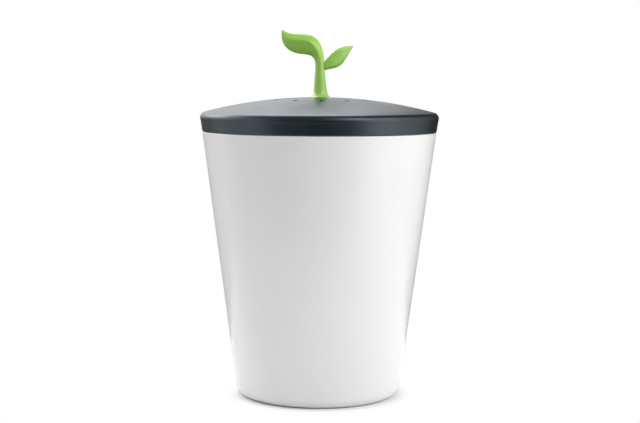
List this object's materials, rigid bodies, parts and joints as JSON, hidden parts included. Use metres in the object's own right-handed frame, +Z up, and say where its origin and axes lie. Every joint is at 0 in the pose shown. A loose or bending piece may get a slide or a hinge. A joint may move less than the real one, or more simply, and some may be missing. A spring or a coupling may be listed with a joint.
{
  "type": "compost caddy",
  "caption": "Tapered glazed crock for kitchen scraps, with a lift-out bucket on a bail, a lift-off vented lid over a carbon filter, and a sprout-shaped pull.",
  "frame": {"origin": "centre of the foot, on the surface the crock stands on", "axes": "+Z up through the stem of the sprout; -Y faces the viewer of the picture; +X is the viewer's right, the side of the small leaf"},
  "size_m": [0.19, 0.19, 0.292],
  "materials": {
    "glaze": "smooth white glaze, unglazed foot ring",
    "bucket_plastic": "satin moulded polypropylene",
    "lid_plastic": "fine satin moulded, charcoal",
    "sprout_plastic": "satin moulded, leaf green",
    "silicone": "matt silicone",
    "carbon_foam": "open carbon-loaded foam",
    "brass": "turned",
    "steel": "zinc-plated"
  },
  "bodies": {
    "crock": {"crock": "glaze"},
    "bucket": {"bucket": "bucket_plastic"},
    "bail": {"bail_handle": "bucket_plastic"},
    "lid": {"lid_shell": "lid_plastic", "lid_liner": "lid_plastic", "liner_screws": "steel", "lid_seal": "silicone", "carbon_filter": "carbon_foam", "sprout_knob": "sprout_plastic", "sprout_insert": "brass", "sprout_screw": "steel", "sprout_washer": "steel"},
    "filter_cover": {"filter_cover": "lid_plastic"}
  },
  "joints": [
    {"name": "bucket_lift", "type": "slide", "parent": "crock", "child": "bucket", "axis": [0, 0, 1], "range_m": [0, 0.205]},
    {"name": "lid_lift", "type": "slide", "parent": "bucket", "child": "lid", "axis": [0, 0, 1], "range_m": [0, 0.16]},
    {"name": "bail_swing", "type": "hinge", "parent": "bucket", "child": "bail", "pos_m": [0, 0, 0.205], "axis": [1, 0, 0], "range_deg": [0, 90]},
    {"name": "filter_cover_twist", "type": "hinge", "parent": "lid", "child": "filter_cover", "pos_m": [0, 0, 0.205], "axis": [0, 0, 1], "range_deg": [0, 30]}
  ],
  "couplings": [
    {"joint": "bail_swing", "follows": "lid_lift", "rad_per_m": 9.8174}
  ]
}
